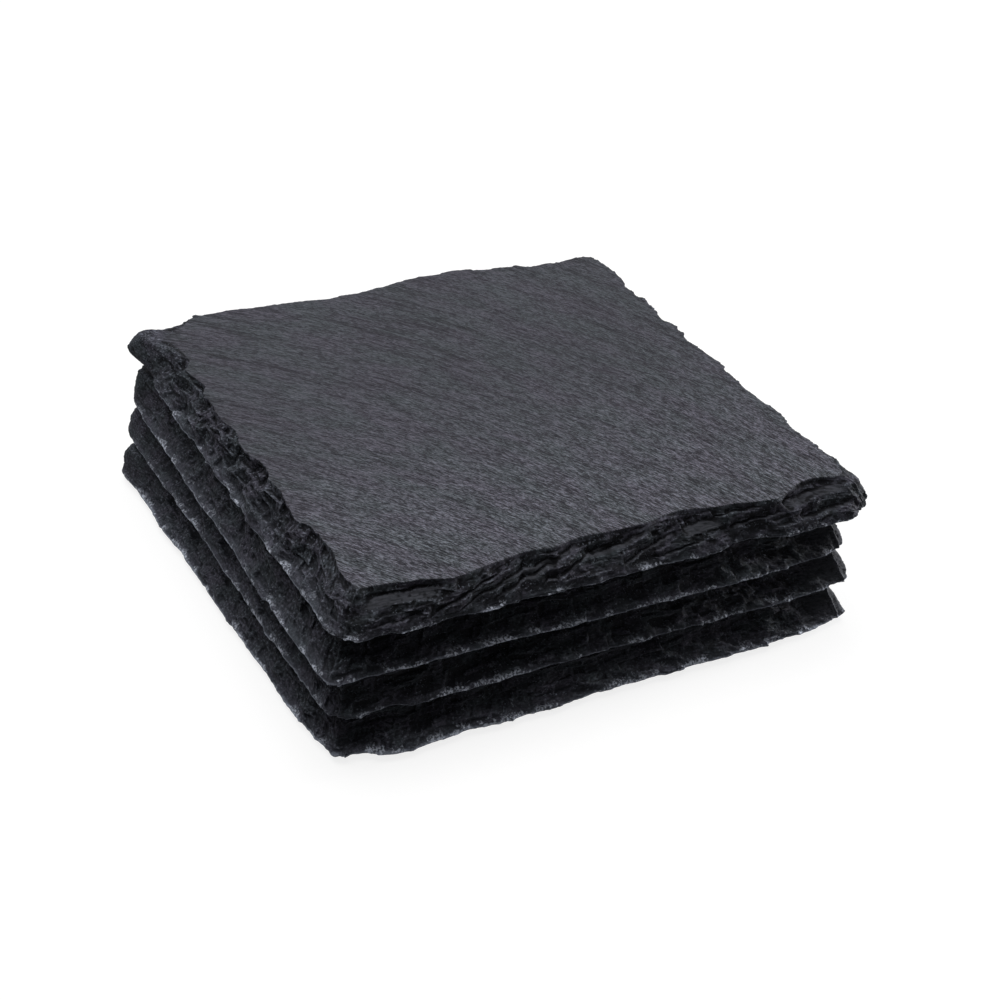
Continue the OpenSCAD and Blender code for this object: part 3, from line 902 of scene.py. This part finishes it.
# The rubber feet.
# Four thick discs of soft black rubber are stuck under each slab, well inside its edge. Each is moulded
# with a rounded lower rim, a shallow dish in its underside and a faint ring round its side.
FOOT_COLUMNS, ROUND_STEPS, DISH_STEPS = 72, 7, 5
# Radius of the rim, depth of the dish, and how far the foot is pressed into the slate, in mm
FOOT_ROUND, FOOT_DISH, FOOT_SUNK = 0.5, 0.25, 0.15
# Where the dish begins to rise and where it ends, as shares of the radius
DISH_SHARE, DISH_RIM_SHARE = 0.5, 0.68
# How far the ring that the mould's parting leaves stands out, and half its height, in mm
PARTING, PARTING_HALF = 0.04, 0.08


def foot_mesh(low, high):
    """A profile of radius and height carried round a circle: in to out under the foot, up its side with a
    faint ring at mid height, and in again at its top, which is pressed into the slate."""
    radius = (high[0] - low[0]) / 2 / MM - PARTING
    tall = (high[2] - low[2]) / MM
    bend = np.linspace(0, math.pi / 2, ROUND_STEPS)
    dish = np.linspace(0, 1, DISH_STEPS)
    r = np.r_[radius * (DISH_SHARE + (DISH_RIM_SHARE - DISH_SHARE) * dish),
              radius - FOOT_ROUND * (1 - np.sin(bend)),
              radius, radius + PARTING, radius, radius, radius - FOOT_SUNK]
    z = np.r_[FOOT_DISH * (1 - ease(dish, 0, 1)), FOOT_ROUND * (1 - np.cos(bend)),
              tall / 2 + PARTING_HALF * np.array([-1, 0, 1]), tall, tall + FOOT_SUNK]
    a = np.arange(FOOT_COLUMNS) / FOOT_COLUMNS * 2 * math.pi
    middle = (np.array(low) + high) / 2
    x = np.outer(r, np.cos(a)) * MM + middle[0]
    y = np.outer(r, np.sin(a)) * MM + middle[1]
    points = np.stack([x, y, np.outer(z, np.ones(FOOT_COLUMNS)) * MM + low[2]], axis=-1).reshape(-1, 3)
    poles = [[middle[0], middle[1], low[2] + v * MM] for v in (FOOT_DISH, tall + FOOT_SUNK)]
    return np.vstack([points, poles]), stitch([FOOT_COLUMNS] * len(r))[:, ::-1]


RUBBER_BLACK, RUBBER_DUST = paint(24, 24, 25), paint(66, 66, 68)
# The moulded grain's size in mm, detail and roughness, and its height in mm, and the size and detail of
# the patches of dust, where they begin and are full, and how strong they are
RUBBER_GRAIN, GRAIN_HIGH = ((0.25, 0.25, 0.25), 3, 0.6), 0.05
DUST_PATCHES, DUST_ENDS, DUST_STRONG = ((2.5, 2.5, 2.5), 3), (0.5, 0.75), 0.35
RUBBER_ROUGHNESS, DUST_ROUGHER, RUBBER_GLOSS = 0.62, 0.2, 0.3


def rubber_finish():
    """Soft black rubber with a fine moulded grain and a little dust."""
    finish = Finish("foot_rubber")
    here = finish.place()
    grain = finish.cloud(here, *RUBBER_GRAIN)
    dust = finish.between(finish.cloud(here, *DUST_PATCHES), *DUST_ENDS)
    bump = finish.node("ShaderNodeBump", {}, {"Height": grain, "Distance": GRAIN_HIGH * MM, "Strength": 1.0})
    skin = finish.node("ShaderNodeBsdfPrincipled", {}, {
        "Base Color": finish.blend(dust * DUST_STRONG, RUBBER_BLACK, RUBBER_DUST),
        "Roughness": RUBBER_ROUGHNESS + DUST_ROUGHER * dust,
        "Specular IOR Level": RUBBER_GLOSS,
        "Normal": bump,
    })
    finish.node("ShaderNodeOutputMaterial", {}, {"Surface": skin})
    return finish.material


RUBBER_SHARP = math.radians(40)
rubber = rubber_finish()
for level in LEVELS:
    for corner in CORNERS:
        node = f"{level}_foot_{corner}"
        points, triangles = foot_mesh(*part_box(node))
        mesh = bpy.data.meshes.new(f"{level}_pad_{corner}")
        mesh.from_pydata(points.tolist(), [], triangles.tolist())
        mesh.materials.append(rubber)
        mesh.shade_smooth()
        mesh.set_sharp_from_angle(angle=RUBBER_SHARP)
        pad = bpy.data.objects.new(f"{level}_pad_{corner}", mesh)
        bpy.context.collection.objects.link(pad)
        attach(pad, f"{level}_coaster")
        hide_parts(node)
